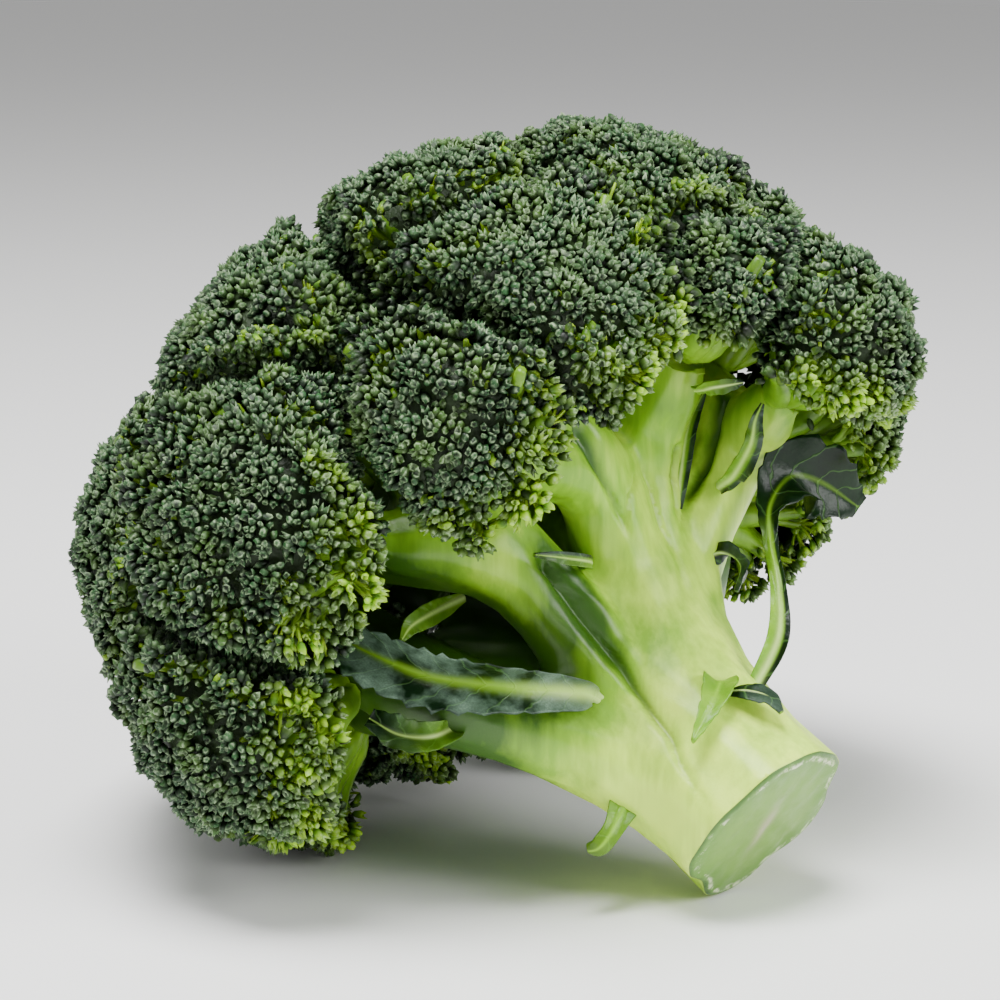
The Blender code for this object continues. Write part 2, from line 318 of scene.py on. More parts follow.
# a material's use of the bloom group
def bloomed(n, colour, bloomColour, amount, patchScale):
    inputs = {"Colour": colour, "Bloom Colour": bloomColour}
    inputs |= {"Amount": amount, "Patch Scale": patchScale}
    return n.add("ShaderNodeGroup", inputs, node_tree=bloomGroup).outputs


# Materials

# the colours low on a bud are painted shade between the buds; edge is a painted highlight
budColours = {
    "gap": rgb(0.0008, 0.0028, 0.0006),
    "side": rgb(0.0038, 0.019, 0.0028),
    "tip": rgb(0.015, 0.064, 0.016),
    "edge": rgb(0.40, 0.54, 0.30),
    "youngGapShade": rgb(0.02, 0.06, 0.002),
    "youngSide": rgb(0.10, 0.26, 0.004),
    "youngTip": rgb(0.35, 0.60, 0.012),
    "bloom": rgb(0.052, 0.105, 0.038),
}


# bud: painted shade from near black at its foot, down between the buds, through its side to a lighter
# tip, with a painted highlight on its edge ring, turned yellow-green by youth
def makeBudMaterial():
    material, n, shader = newMaterial("budSkin", {"Specular IOR Level": 0.3})
    rise, toneAndSeamShade, youth, edge = (n.attribute(key) for key in ("rise", "toneAndSeamShade", "youth", "edge"))
    c = budColours
    # painted shade: darkest at each bud's foot, lighter up to its tip
    old = n.ramp(rise, [(0.4, c["gap"]), (0.78, c["side"]), (1.0, c["tip"])])
    young = n.ramp(rise, [(0.05, c["youngGapShade"]), (0.5, c["youngSide"]), (0.95, c["youngTip"])])
    colour = n.mix(youth, old, young)
    # brighter or darker by the per-bud tone, which also carries painted shade in the seams between
    # clusters
    lift = n.spread(toneAndSeamShade, 0.0, 1.0, 0.45, 1.65)
    lifted = n.add("ShaderNodeHueSaturation", {"Color": colour, "Value": lift})
    speck = n.spread(n.noise(n.place(), 1100.0), 0.44, 0.6)
    # a painted highlight: pale speckled colour on each bud's top ring
    sharp = n.math("POWER", edge, 2.2)
    paintedHighlight = n.times(n.times(sharp, speck), 0.75)
    pale = n.mix(paintedHighlight, lifted.outputs["Color"], c["edge"])
    # a lighter bloom on the bud tips, heavier on buds that face up: partly real waxy bloom, partly
    # painted light on the top of the crown
    bloomAndTopLightAmount = n.times(n.attribute("bloomAndTopLight"), rise)
    bloom = bloomed(n, pale, c["bloom"], bloomAndTopLightAmount, 75.0)
    rough = n.spread(n.noise(n.place(), 900.0), 0.3, 0.7, 0.36, 0.6)
    dimples = n.bump(n.noise(n.place(), 1500.0, 3.0, 0.65), 0.6, 0.0003)
    n.feed(shader.inputs, {"Base Color": bloom["Colour"], "Roughness": rough, "Normal": dimples})
    return material


# light that goes a little way into the flesh
def softened(weight, radius):
    return {"Subsurface Weight": weight, "Subsurface Radius": radius, "Subsurface Scale": 1.0}


fleshColours = {
    "pale": rgb(0.70, 0.98, 0.10),
    "mid": rgb(0.23, 0.47, 0.014),
    "deep": rgb(0.030, 0.100, 0.003),
    "fresh": rgb(0.34, 0.56, 0.012),
    "bloom": rgb(0.50, 0.66, 0.26),
}


# flesh: pale near the cut and greener up the branches, with painted shade in the grooves, on the shaded
# side and under the crown, and faint lengthwise fibres
def makeFleshMaterial():
    soft = softened(0.22, (0.0025, 0.003, 0.0008))
    material, n, shader = newMaterial("stalkFlesh", {"Specular IOR Level": 0.35, **soft})
    greenAndShade, hollow, fresh = (n.attribute(key) for key in ("greenAndShade", "hollow", "fresh"))
    grain = n.add("ShaderNodeGroup", node_tree=fleshGroup).outputs
    c = fleshColours
    streak = n.spread(grain["Fibre"], 0.3, 0.7, -0.10, 0.10)
    blotch = n.spread(n.noise(n.place(), 62.0, 2.0), 0.3, 0.7, -0.2, 0.24)
    amount = n.math("ADD", n.math("ADD", greenAndShade, streak), blotch)
    colour = n.ramp(amount, [(0.0, c["pale"]), (0.5, c["mid"]), (1.0, c["deep"])])
    freshened = n.mix(fresh, colour, c["fresh"])
    # painted shade: darker towards the deep colour in the creases and under the crown
    hollowShaded = n.mix(n.times(hollow, 0.85, clamp=True), freshened, c["deep"])
    bloom = bloomed(n, hollowShaded, c["bloom"], 0.06, 48.0)
    rough = n.spread(bloom["Mask"], 0.0, 0.3, 0.33, 0.5)
    raised = n.bump(grain["Height"], 0.22, 0.0003)
    n.feed(shader.inputs, {"Base Color": bloom["Colour"], "Roughness": rough, "Normal": raised})
    return material


cutColours = {
    "skin": rgb(0.05, 0.14, 0.012),
    "cortex": rgb(0.12, 0.27, 0.03),
    "pith": rgb(0.18, 0.34, 0.05),
    "heart": rgb(0.46, 0.40, 0.28),
    "fibre": rgb(0.85, 0.90, 0.62),
}


# cut face: skin, cortex, pith and heart by the distance in from the rim, with broken pale fibres
def makeCutMaterial():
    material, n, shader = newMaterial("cutFlesh", softened(0.2, (0.002, 0.003, 0.001)))
    inward, heart = n.attribute("inward"), n.attribute("heart")
    c = cutColours
    wander = n.spread(n.noise(n.place(), 260.0, 3.0), 0.3, 0.7, -0.5, 0.5)
    depth = n.math("ADD", inward, wander)
    layers = n.ramp(
        n.math("DIVIDE", depth, 9.0, clamp=True),
        [(0.03, c["skin"]), (0.12, c["cortex"]), (0.75, c["pith"])],
    )
    grey = n.mix(n.times(heart, 0.75), layers, c["heart"])
    band = n.math("ABSOLUTE", n.math("SUBTRACT", depth, 1.5))
    ring = n.spread(band, 0.2, 0.8, 1.0, 0.0)
    broken = n.spread(n.noise(n.place(), 420.0, 4.0, 0.7), 0.48, 0.58)
    colour = n.mix(n.times(ring, n.times(broken, 0.75)), grey, c["fibre"])
    wet = n.spread(n.noise(n.place(), 400.0), 0.3, 0.7, 0.28, 0.5)
    pores = n.noise(n.place(), 1400.0, 4.0, 0.7)
    raised = n.math("ADD", n.times(pores, 0.5), n.times(ring, broken))
    normal = n.bump(raised, 0.4, 0.0003)
    n.feed(shader.inputs, {"Base Color": colour, "Roughness": wet, "Normal": normal})
    return material


leafColours = {
    "dark": rgb(0.001, 0.008, 0.002),
    "light": rgb(0.004, 0.020, 0.004),
    "vein": rgb(0.07, 0.17, 0.035),
    "rib": rgb(0.24, 0.48, 0.02),
    "ribPale": rgb(0.62, 0.82, 0.26),
    "stubby": rgb(0.13, 0.33, 0.004),
    "bloom": rgb(0.22, 0.35, 0.25),
}


# leaf: blue-green blade with a bright rib, side veins in slanting steps, and patches of waxy bloom; on a
# shaded leaf a high amount of it is painted light
def makeLeafMaterial():
    material, n, shader = newMaterial("leafSkin", {"Specular IOR Level": 0.25})
    keys = ("rib", "leafy", "along", "across", "waxyAndPaintedLight")
    rib, leafy, along, across, waxyAndPaintedLight = (n.attribute(key) for key in keys)
    c = leafColours
    mottle = n.spread(n.noise(n.place(), 210.0, 4.0, 0.6), 0.32, 0.68)
    blade = n.mix(mottle, c["dark"], c["light"])
    sway = n.spread(n.noise(n.place(), 240.0, 2.0), 0.3, 0.7, -0.9, 0.9)
    slant = n.math("SUBTRACT", along, n.times(n.math("ABSOLUTE", across), 0.8))
    step = n.math("DIVIDE", n.math("ADD", slant, sway), 5.2)
    zigzag = n.math("ABSOLUTE", n.math("SUBTRACT", n.math("FRACT", step), 0.5))
    vein = n.spread(zigzag, 0.01, 0.055, 1.0, 0.0)
    veined = n.mix(n.times(vein, 0.5), blade, c["vein"])
    ribColour = n.mix(n.spread(along, 2.0, 26.0), c["ribPale"], c["rib"])
    stubColour = n.mix(mottle, c["stubby"], c["rib"])
    leaf = n.mix(leafy, stubColour, veined)
    ribbed = n.mix(rib, leaf, ribColour)
    bare = n.times(leafy, n.math("SUBTRACT", 1.0, rib))
    bloom = bloomed(n, ribbed, c["bloom"], n.times(bare, waxyAndPaintedLight), 150.0)
    rough = n.spread(bloom["Mask"], 0.0, 0.5, 0.3, 0.5)
    height = n.math("ADD", n.times(vein, leafy), n.noise(n.place(), 1300.0, 3.0))
    raised = n.bump(height, 0.35, 0.00025)
    n.feed(shader.inputs, {"Base Color": bloom["Colour"], "Roughness": rough, "Normal": raised})
    return material


budMaterial = makeBudMaterial()
fleshMaterial = makeFleshMaterial()
cutMaterial = makeCutMaterial()
leafMaterial = makeLeafMaterial()
print("materials made")


# Florets

buds = {
    "pitch": 1.74,  # from one bud to the next, in millimetres
    "radius": 0.82,
    "height": 2.35,
    "sides": 6,
    "rimDegrees": 114,  # buds reach this far round from the floret's axis
    "sink": 2.5,  # how far a bud's foot is below the skin
    "cleftDepth": 6.5,  # between florets they reach this deep
    "fill": 10.0,  # how softly neighbouring florets run into each other
    "settle": 2.0,  # how far the whole crown draws in again
    "swell": 0.9,  # broad unevenness over the whole crown
    "clusterSize": 6.4,
    "clusterLift": 2.1,
    "clumpSize": 2.8,
    "clumpLift": 0.75,
    "sizeSpread": 0.13,
    "leanSpread": 0.15,
    "liftSpread": 0.18,
    "underPitch": 1.25,  # the loose layer under the rim: its pitch and how much of it is kept
    "underShare": 0.75,
    "underDegrees": 72,
}


# the crown's CAD facets as unit normals, and their distance from its middle (millimetres)
def facetsOf(node):
    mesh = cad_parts[node].data
    mesh.calc_loop_triangles()
    corners = pointsOf(mesh)
    index = np.zeros(len(mesh.loop_triangles) * 3, np.int32)
    mesh.loop_triangles.foreach_get("vertices", index)
    a, b, c = (corners[index.reshape(-1, 3)[:, k]] for k in range(3))
    normals = np.cross(b - a, c - a)
    middle = (corners.min(axis=0) + corners.max(axis=0)) / 2
    volumes = np.einsum("ij,ij->i", normals, a - middle)
    middle = middle + (volumes[:, None] * ((a + b + c - 3 * middle) / 4)).sum(axis=0) / volumes.sum()
    keep = np.linalg.norm(normals, axis=1) > 1e-6
    normals = unit(normals[keep])
    return middle, normals, np.einsum("ij,ij->i", normals, a[keep] - middle), corners


# the ball that fits a floret's dome best: |v|^2 = 2 c.v + k solved for c and k
def domeBall(middle, corners):
    outward = unit(middle - np.array(growth["fork"]))
    high = (corners - middle) @ outward
    dome = corners[high > 0.35 * high.max()]
    table = np.hstack([2 * dome, np.ones((len(dome), 1))])
    answer = np.linalg.lstsq(table, (dome**2).sum(axis=1), rcond=None)[0]
    return np.append(answer[:3], math.sqrt(answer[3] + (answer[:3] ** 2).sum()))


tips = {}  # where each floret's branches leave its limb, along the growth axes
floretNodes = sorted(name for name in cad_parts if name.startswith("floret_"))
floretFacets = {node: facetsOf(node) for node in floretNodes}
stalkSkin = pointsOf(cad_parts["stalk"].data)
balls = np.array([domeBall(floretFacets[node][0], floretFacets[node][3]) for node in floretNodes])


# soft maximum of where a ray from the crown's middle leaves each ball, less the hard maximum
def cleftFill(points):
    heart = np.array(growth["crownMiddle"])
    outward = unit(points - heart)
    centres = balls[:, :3] - heart
    along = outward @ centres.T
    room = balls[:, 3] ** 2 - ((centres**2).sum(axis=1) - along**2)
    leave = along + np.sign(room) * np.sqrt(np.abs(room)) * np.where(room < 0, 2.0, 1.0)
    leave -= leave.max(axis=1, keepdims=True)
    lift = buds["fill"] * np.log(np.exp(leave / buds["fill"]).sum(axis=1))
    swell = buds["swell"] * waves(points, 34.0, np.random.default_rng(11))
    return outward * (lift - buds["settle"] + swell)[:, None]


class Crown:
    # one floret's bud crown, seen from its middle

    def __init__(self, node, rng):
        self.node = node
        self.others = np.delete(balls, floretNodes.index(node), axis=0)
        self.middle, self.normals, self.offsets, _ = floretFacets[node]
        self.axis = unit(self.middle - np.array(growth["fork"]))
        self.radius = self.skin(self.axis[None])[0][0]
        self.base = self.skin(-self.axis[None])[0][0]
        self.rng = rng
        self.ragged = unit(rng.normal(size=(2, 3))) * 9
        self.clusters = self.spreadPoints(buds["clusterSize"] * 1.75)
        self.clumps = self.spreadPoints(buds["clumpSize"] * 1.85)
        self.clusterLifts = rng.uniform(0.55, 1.4, len(self.clusters))
        self.clumpLifts = rng.uniform(0.4, 1.5, len(self.clumps))

    # soft minimum over the facets: r = (sum (n.ray/offset)^p)^(-1/p); its gradient is the normal
    def skin(self, rays, power=34):
        facing = np.maximum(rays @ self.normals.T, 0) / self.offsets
        highest = facing.max(axis=1, keepdims=True)
        weights = (facing / highest) ** power
        total = weights.sum(axis=1)
        reach = 1 / (highest[:, 0] * (total / 6) ** (1 / power))
        normal = unit((weights / np.maximum(facing, 1e-9)) @ (self.normals / self.offsets[:, None]))
        return reach, normal

    # degrees round from the floret's axis
    def turned(self, rays):
        return np.degrees(np.arccos(np.clip(rays @ self.axis, -1, 1)))

    # millimetres from each point out to the nearest of the other florets' balls
    def openness(self, points):
        apart = np.linalg.norm(points[:, None] + self.middle - self.others[None, :, :3], axis=2)
        return (apart - self.others[:, 3]).min(axis=1)

    # keeps the rays above the rim whose skin isn't down in the cleft between two florets
    def shown(self, rays):
        reach = self.skin(rays)[0]
        wander = np.sin(rays @ self.ragged[0] + 1) * np.sin(rays @ self.ragged[1])
        closed = 1 - ease(self.openness(rays * reach[:, None]), 2, 9)
        ragged = buds["rimDegrees"] + 6 * wander - 3 + 14 * closed
        return (self.turned(rays) < ragged) & (reach > self.radius - buds["cleftDepth"])

    # even points on a sphere by the golden angle, jittered, then pushed apart where they crowd
    def spreadPoints(self, pitch):
        count = int(4 * np.pi * self.radius**2 / (0.8 * pitch**2))
        i = np.arange(count) + 0.5
        height, turn = 1 - 2 * i / count, np.pi * (1 + 5**0.5) * i
        flat = np.sqrt(1 - height**2)
        rays = np.stack([flat * np.cos(turn), flat * np.sin(turn), height], axis=1)
        rays = unit(rays + self.rng.normal(scale=0.3 * pitch / self.radius, size=rays.shape))
        rays = rays[self.shown(rays)]
        for _ in range(5):
            points = rays * self.skin(rays)[0][:, None]
            apart = points[:, None, :] - points[None, :, :]
            distance = np.sqrt((apart**2).sum(axis=2)) + np.eye(len(points)) * 1e3
            push = np.maximum(1 - distance / (pitch * 1.15), 0) / distance
            rays = unit(points + 0.45 * pitch * np.einsum("ij,ijk->ik", push, apart))
        return rays[self.shown(rays)]

    # skin raised into domes: lift*(1 - (d/size)^2) round the nearest cluster and clump middles
    def domes(self, rays):
        reach, normal = self.skin(rays)
        points = rays * reach[:, None]
        raised, leaning = np.zeros(len(rays)), normal.copy()
        for seeds, lifts, size, lift in (
            (self.clusters, self.clusterLifts, buds["clusterSize"], buds["clusterLift"]),
            (self.clumps, self.clumpLifts, buds["clumpSize"], buds["clumpLift"]),
        ):
            middles = seeds * self.skin(seeds)[0][:, None]
            nearest = nearestOf(points, middles)
            offset = points - middles[nearest]
            offset -= normal * np.einsum("ij,ij->i", offset, normal)[:, None]
            away = np.linalg.norm(offset, axis=1)
            high = lift * lifts[nearest]
            raised += high * (np.maximum(1 - (away / size) ** 2, -0.7) - 0.5)
            leaning += offset * (2 * high / size**2)[:, None]
        fill = cleftFill(points + self.middle)
        return points + normal * raised[:, None] + fill, unit(leaning), raised


# A bud's half outline turned round its axis, in three rings: shares of its radius and height. Then
# the height of the middle of its tip (a low one is a hollow), how many lobes part its edge and how
# far, and how far the tip is moved off its axis.
budShapes = [
    ((0.85, 0.3), (1.0, 0.74), (0.72, 1.0), 0.7, 3, 0.14, 0.22),
    ((0.88, 0.3), (1.0, 0.68), (0.6, 0.95), 1.0, 2, 0.06, 0.1),
    ((0.8, 0.36), (1.04, 0.78), (0.8, 1.02), 0.62, 2, 0.2, 0.3),
    ((0.84, 0.32), (0.97, 0.7), (0.6, 0.96), 0.98, 4, 0.07, -0.15),
    ((0.92, 0.3), (1.0, 0.66), (0.7, 0.94), 0.72, 1, 0.24, 0.35),
    ((0.78, 0.34), (0.93, 0.76), (0.68, 1.02), 0.78, 3, 0.24, -0.25),
    ((0.86, 0.3), (1.02, 0.62), (0.66, 0.91), 0.96, 1, 0.14, 0.2),
    ((0.8, 0.34), (0.9, 0.78), (0.5, 1.04), 1.1, 3, 0.08, 0.0),
]


# rings of points round the axis, closed by a point at each end
def budTemplate(shape, rng):
    *outline, top, lobes, split, aside = shape
    sides = buds["sides"]
    turn = np.arange(sides) * 2 * np.pi / sides
    reach, high = np.array(outline).T[:, :, None]
    wobble = 1 + rng.normal(scale=0.07, size=(len(outline), sides))
    x = reach * np.cos(turn) * wobble + aside * high**4
    y = reach * np.sin(turn) * wobble
    z = high * (1 + split * np.cos(lobes * turn) * high**3)
    rings = np.stack([x, y, z], axis=2).reshape(-1, 3)
    points = np.vstack([rings, [(0, 0, 0.05), (aside, 0, top)]])
    # edge marks the top ring, where the bud material paints a highlight
    edge = np.zeros(len(points))
    edge[2 * sides : 3 * sides] = 1.0
    rise = points[:, 2].copy()
    rise[-1] -= max(0, 0.6 - 0.6 * top)
    return points, *ringFaces(len(outline), sides), edge, rise


# three unit vectors for each bud, the last along its axis, the first two spun by a random angle
def spunFrames(axes, rng):
    helper = np.where(np.abs(axes[:, :1]) < 0.8, [[1.0, 0, 0]], [[0, 1.0, 0]])
    first = unit(np.cross(helper, axes))
    second = np.cross(axes, first)
    spin = rng.uniform(0, 2 * np.pi, len(axes))[:, None]
    a = first * np.cos(spin) + second * np.sin(spin)
    return a, np.cross(axes, a)


# copies of one template: place + x*across*a + y*across*b*squash + z*height*axis
def copiesOf(template, places, axes, across, height, rng):
    points, quads, caps, edge, rise = template
    a, b = spunFrames(axes, rng)
    squash = rng.uniform(0.62, 1.0, len(places))
    x = points[None, :, 0, None] * (a * (across / squash**0.4)[:, None])[:, None, :]
    y = points[None, :, 1, None] * (b * (across * squash**0.6)[:, None])[:, None, :]
    z = points[None, :, 2, None] * (axes * height[:, None])[:, None, :]
    everywhere = (places[:, None, :] + x + y + z).reshape(-1, 3)
    shift = (np.arange(len(places)) * len(points))[:, None, None]
    values = {"rise": np.tile(rise, len(places)), "edge": np.tile(edge, len(places))}
    return everywhere, (quads + shift).reshape(-1, 4), (caps + shift).reshape(-1, 3), values


# round tubes along many paths at once: path + r*(cos a * side + sin a * other), closed at both ends
def tubes(paths, radii, sides):
    count, steps = paths.shape[:2]
    along = unit(np.gradient(paths, axis=1))
    helper = np.where(np.abs(along[:, :1, :1]) < 0.8, [[[1.0, 0, 0]]], [[[0, 1.0, 0]]])
    side = unit(np.cross(along, helper))
    other = np.cross(along, side)
    turn = np.arange(sides) * 2 * np.pi / sides
    cos, sin = np.cos(turn)[:, None], np.sin(turn)[:, None]
    around = side[:, :, None] * cos + other[:, :, None] * sin
    rings = paths[:, :, None] + radii[:, :, None, None] * around
    points = np.concatenate([rings.reshape(count, -1, 3), paths[:, :1], paths[:, -1:]], axis=1)
    quads, caps = ringFaces(steps, sides)
    shift = (np.arange(count) * (steps * sides + 2))[:, None, None]
    share = np.repeat(np.linspace(0, 1, steps), sides)
    along01 = np.tile(np.concatenate([share, [0.0, 1.0]]), count)
    return points.reshape(-1, 3), (quads + shift).reshape(-1, 4), (caps + shift).reshape(-1, 3), along01


# faces of a stack of rings with a closing point for the first ring and one for the last
def ringFaces(steps, sides):
    k = np.arange(steps - 1)[:, None] * sides
    here, after = np.arange(sides), (np.arange(sides) + 1) % sides
    quads = np.stack([k + here, k + after, k + sides + after, k + sides + here], axis=-1).reshape(-1, 4)
    low, high, last = steps * sides, steps * sides + 1, (steps - 1) * sides
    caps = np.vstack([
        np.stack([after, here, np.full(sides, low)], axis=1),
        np.stack([last + here, last + after, np.full(sides, high)], axis=1),
    ])
    return quads, caps


# a stack of rings as points and faces, closed by the middles of its two end rings
def closedRings(rings):
    points = np.vstack([rings.reshape(-1, 3), rings[0].mean(axis=0), rings[-1].mean(axis=0)])
    return points, *ringFaces(*rings.shape[:2])


# quadratic curve from start through a pull point to end, for many at once
def bentPaths(start, pull, end, steps):
    t = np.linspace(0, 1, steps)[None, :, None]
    start, pull, end = (part[:, None, :] for part in (start, pull, end))
    return (1 - t) ** 2 * start + 2 * t * (1 - t) * pull + t**2 * end


# several parts as one, with each part's face numbers moved past the points before it
def joined(parts):
    shifts = np.cumsum([0] + [len(part[0]) for part in parts])
    points = np.vstack([part[0] for part in parts])
    faces = [np.vstack([part[k] + shift for part, shift in zip(parts, shifts)]) for k in (1, 2)]
    values = {key: np.concatenate([part[3][key] for part in parts]) for key in parts[0][3]}
    return points, faces, values


core = {"rows": 18, "turns": 40, "depth": 2.4, "wall": 1.2, "openRim": 84, "closedRim": 118}


# a shell under the buds: rows from the pole to the rim outside and back inside, in rings
def coreShell(crown):
    turn = -np.arange(core["turns"]) * 2 * np.pi / core["turns"]
    first = unit(np.cross(crown.axis, (0.3, 0.9, 0.1)))
    second = np.cross(crown.axis, first)
    around = np.cos(turn)[:, None] * first + np.sin(turn)[:, None] * second
    open01 = ease(crown.openness(around * crown.skin(around)[0][:, None]), 3, 10)
    rim = np.radians(core["closedRim"] + (core["openRim"] - core["closedRim"]) * open01)
    polar = 0.02 + np.linspace(0, 1, core["rows"])[:, None] * (rim - 0.02)
    rays = np.cos(polar)[..., None] * crown.axis + np.sin(polar)[..., None] * around[None]
    rays = rays.reshape(-1, 3)
    points = rays * np.minimum(crown.skin(rays)[0], crown.radius)[:, None]
    points += 0.8 * cleftFill(points + crown.middle)
    outer = (points - rays * core["depth"]).reshape(len(polar), len(turn), 3)
    inner = (points - rays * (core["depth"] + core["wall"])).reshape(len(polar), len(turn), 3)[::-1]
    return closedRings(np.concatenate([outer, inner]))


# 1 near the rim on the side that faces the stalk, broken up by soft noise
def youthOf(crown, rays, points, rng):
    nearRim = ease(crown.turned(rays), 72, 98)
    facing = ease(-rays[:, 2], -0.1, 0.5) * ease(crown.openness(points), 1.0, 7.0)
    patch = ease(waves(points, 11.0, rng), -0.3, 1.0)
    return np.clip(nearRim * facing * (0.16 + 0.9 * patch) + 0.08 * patch**2, 0, 1)


# extra buds under the rim, closer in than the skin
def underBuds(crown):
    rays = crown.rng.permutation(crown.spreadPoints(buds["pitch"] * buds["underPitch"]))
    rays = rays[(crown.turned(rays) > buds["underDegrees"]) & (-rays[:, 2] > -0.4)]
    rays = rays[: int(buds["underShare"] * len(rays))]
    places, axes, _ = crown.domes(rays)
    bare = crown.openness(places) > 0
    places, axes, rays = places[bare], axes[bare], rays[bare]
    deep = 2.2 + 8.0 * ease(crown.turned(rays), 75, 112)
    inward = (deep * crown.rng.uniform(0.35, 1.0, len(rays)))[:, None]
    leaning = unit(axes - 0.6 * crown.axis + crown.rng.normal(scale=0.3, size=axes.shape))
    return places - axes * inward, leaning


def makeFloret(node, seed):
    rng = np.random.default_rng(seed)
    crown = Crown(node, rng)
    rays = crown.spreadPoints(buds["pitch"])
    places, axes, raised = crown.domes(rays)
    youth = youthOf(crown, rays, places, rng)
    under, underAxes = underBuds(crown)
    stalked = np.concatenate([youth > 0.2, np.ones(len(under), bool)])
    places, axes = np.vstack([places, under]), np.vstack([axes, underAxes])
    youth = np.concatenate([youth, rng.uniform(0.1, 0.8, len(under))])
    raised = np.concatenate([raised, np.zeros(len(under))])
    count = len(places)
    axes = unit(axes + rng.normal(scale=buds["leanSpread"], size=axes.shape))
    size = rng.normal(1.0, buds["sizeSpread"], count).clip(0.7, 1.45)
    places = places + axes * rng.normal(scale=buds["liftSpread"], size=(count, 1))
    across = buds["radius"] * size * (1 - 0.12 * youth)
    height = buds["height"] * size**0.5 * (1 + 0.15 * youth)
    kind = rng.integers(0, len(budShapes), count)
    # random tone, plus painted shade: buds in the seams between clusters darker than those on the raised
    # tops
    toneAndSeamShade = (0.45 + 0.17 * rng.normal(size=count) + 0.14 * raised / buds["clusterLift"]).clip(0, 1)
    upward = axes @ axesOfGrowth[:, 2]
    # more on buds that face up: partly real bloom, partly painted light on the top of the crown
    bloomAndTopLight = (0.2 + 0.55 * ease(upward, -0.1, 0.9)) * (1 - youth)
    parts = []
    for k, shape in enumerate(budShapes):
        mine = kind == k
        template = budTemplate(shape, rng)
        feet = places[mine] - axes[mine] * buds["sink"]
        points, quads, caps, values = copiesOf(
            template, feet, axes[mine], across[mine], height[mine], rng
        )
        each = len(template[0])
        for key, value in {"toneAndSeamShade": toneAndSeamShade, "youth": youth, "bloomAndTopLight": bloomAndTopLight}.items():
            values[key] = np.repeat(value[mine], each)
        parts.append((points, quads, caps, values))
    points, quads, caps = coreShell(crown)
    # the shell under the buds takes the near-black gap colour: a painted shade sheet between the buds
    shade = {"rise": 0.1, "edge": 0.0, "toneAndSeamShade": 0.5, "youth": 0.25, "bloomAndTopLight": 0.0}
    values = {key: np.full(len(points), value) for key, value in shade.items()}
    parts.append((points, quads, caps, values))
    points, faces, values = joined([(p + crown.middle, q, c, v) for p, q, c, v in parts])
    mesh = meshFrom(node + "_buds", placed(points), faces, values, budMaterial)
    addPiece(node + "_buds", mesh, "bud_green", node)
    makeBranches(crown, (places - axes * (buds["sink"] - 0.4))[stalked], axes[stalked])
    return count


branches = {
    "graft": 9.0,  # how much of the limb's end the branches start from the middle of
    "fan": 0.18,  # how far apart they start
    "first": (1.0, 2.4, 2.9, 2.7, 2.3, 1.9, 1.5, 1.1),  # radii along each order of branch
    "second": (1.05, 0.5),
    "third": (0.30, 0.34),
    "clusterDepth": 7.0,  # their ends below the skin
    "clumpDepth": 4.0,
    "greens": (0.55, 0.65, 0.6),  # one for each order
    "freshness": (0.1, 0.45, 0.8),
}


# a value run evenly from its first to its last along many tubes
def tapered(ends, steps, count):
    return np.tile(np.linspace(*ends, steps), (count, 1))


# for each point, the number of the nearest target
def nearestOf(points, targets):
    return ((points[:, None] - targets[None]) ** 2).sum(axis=2).argmin(axis=1)


# three orders of branch: from the limb's end to clusters, to clumps, and to the buds near the rim
def makeBranches(crown, heads, headAxes):
    rng = crown.rng
    tip = -crown.axis * crown.base
    tips[crown.node] = tip + crown.middle
    clusterEnds, clusterNormals, _ = crown.domes(crown.clusters)
    clusterEnds = clusterEnds - clusterNormals * branches["clusterDepth"]
    count = len(clusterEnds)
    near = np.linalg.norm(stalkSkin - crown.middle - tip, axis=1) < branches["graft"]
    inside = stalkSkin[near].mean(axis=0) - crown.middle if near.any() else tip - crown.axis * 6.0
    start = inside + clusterEnds * branches["fan"]
    pull = tip + 0.40 * (clusterEnds - tip) + crown.axis * 0.10 * crown.radius
    first = bentPaths(start, pull, clusterEnds, 8)
    radii = np.array(branches["first"])[None] * rng.uniform(0.75, 1.15, (count, 1))
    parts = [tubes(first, radii, 8)]
    rimward = ease(crown.turned(crown.clumps), 60, 85)[:, None]
    clumpEnds, clumpNormals, _ = crown.domes(crown.clumps)
    clumpEnds = clumpEnds - clumpNormals * (branches["clumpDepth"] + 2.2 * rimward)
    owner = nearestOf(clumpEnds, clusterEnds)
    leave = first[owner, 4]
    pull = leave + 0.5 * (clumpEnds - leave) + unit(first[owner, 5] - leave) * 2.2
    second = bentPaths(leave, pull, clumpEnds, 6)
    parts.append(tubes(second, tapered(branches["second"], 6, len(second)), 5))
    leave = second[nearestOf(heads, clumpEnds), 4]
    pull = 0.5 * (heads + leave) - headAxes * 0.9
    third = bentPaths(leave, pull, heads, 4)
    parts.append(tubes(third, tapered(branches["third"], 4, len(third)), 3))
    made = []
    for part, greenAndShade, fresh in zip(parts, branches["greens"], branches["freshness"]):
        points, quads, caps, along = part
        # greener towards their ends, and darker there inside the crown: hollow is painted shade
        values = {"greenAndShade": greenAndShade + 0.3 * along, "hollow": 0.35 * along}
        values["fresh"] = fresh * (0.2 + 0.8 * along)
        made.append((points + crown.middle, quads, caps, values))
    points, faces, values = joined(made)
    mesh = meshFrom(crown.node + "_branches", placed(points), faces, values, fleshMaterial)
    addPiece(crown.node + "_branches", mesh, "stalk_green", crown.node)


budCount = 0
for order, node in enumerate(floretNodes):
    budCount += makeFloret(node, 100 + order)
print("florets made:", len(floretNodes), "with", budCount, "buds")


# Stalk

stalkShape = {
    "voxel": 0.8,
    "smooth": 5,
    "extra": 4.0,  # how far it runs on below the cut before it's cut
    "flute": 0.22,  # height of the shallow ribs round it
    "taper": 1.5,  # how much thinner the limbs are at their ends
    "footGreen": 0.06,  # how green it is at the cut, what height adds, and the painted shade that the shaded side and the crease flanks add
    "heightGreen": 0.55,
    "shadeGreen": 0.95,
    "creaseShade": 0.75,
}

